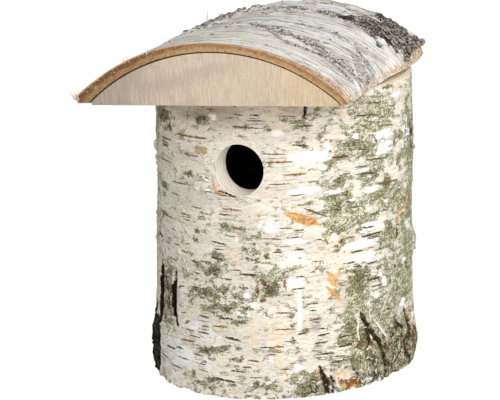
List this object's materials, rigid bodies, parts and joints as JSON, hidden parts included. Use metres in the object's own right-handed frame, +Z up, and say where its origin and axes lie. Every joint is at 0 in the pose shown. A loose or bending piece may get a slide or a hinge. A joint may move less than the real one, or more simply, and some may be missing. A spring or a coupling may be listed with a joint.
{
  "type": "bird nest box",
  "caption": "Upright nest box hollowed from a birch trunk, with a round entrance, a floor disc and a half-log bark roof hinged at the back.",
  "frame": {"origin": "on the ground plane that the box stands on, under the middle of the whole box's outline", "axes": "+Z up, -Y the way the entrance looks, +X to the right for someone facing the entrance"},
  "size_m": [0.1805, 0.1849, 0.2258],
  "materials": {
    "trunk_bark": "pale papery birch bark with dark dashes",
    "trunk_wood": "sawn, unfinished",
    "floor_wood": "sawn, unfinished",
    "roof_wood": "sawn end grain, unfinished",
    "roof_bark": "rough grey birch bark",
    "zinc_steel": "zinc plated, dull"
  },
  "bodies": {
    "box": {"trunk_wood": "trunk_wood", "trunk_bark": "trunk_bark", "floor_disc": "floor_wood", "floor_screw_1": "zinc_steel", "floor_screw_2": "zinc_steel", "floor_screw_3": "zinc_steel", "hinge_trunk_leaf": "zinc_steel", "hinge_pin": "zinc_steel", "hinge_trunk_screw_1": "zinc_steel", "hinge_trunk_screw_2": "zinc_steel", "hinge_trunk_screw_3": "zinc_steel", "hanger_plate": "zinc_steel", "hanger_screw_1": "zinc_steel", "hanger_screw_2": "zinc_steel"},
    "roof": {"roof_wood": "roof_wood", "roof_bark": "roof_bark", "hinge_roof_leaf": "zinc_steel", "hinge_roof_screw_1": "zinc_steel", "hinge_roof_screw_2": "zinc_steel", "hinge_roof_screw_3": "zinc_steel"}
  },
  "joints": [
    {"name": "roof_hinge", "type": "hinge", "parent": "box", "child": "roof", "pos_m": [0.0086, 0.09026, 0.18715], "axis": [-1, 0, 0], "range_deg": [0, 180]}
  ]
}
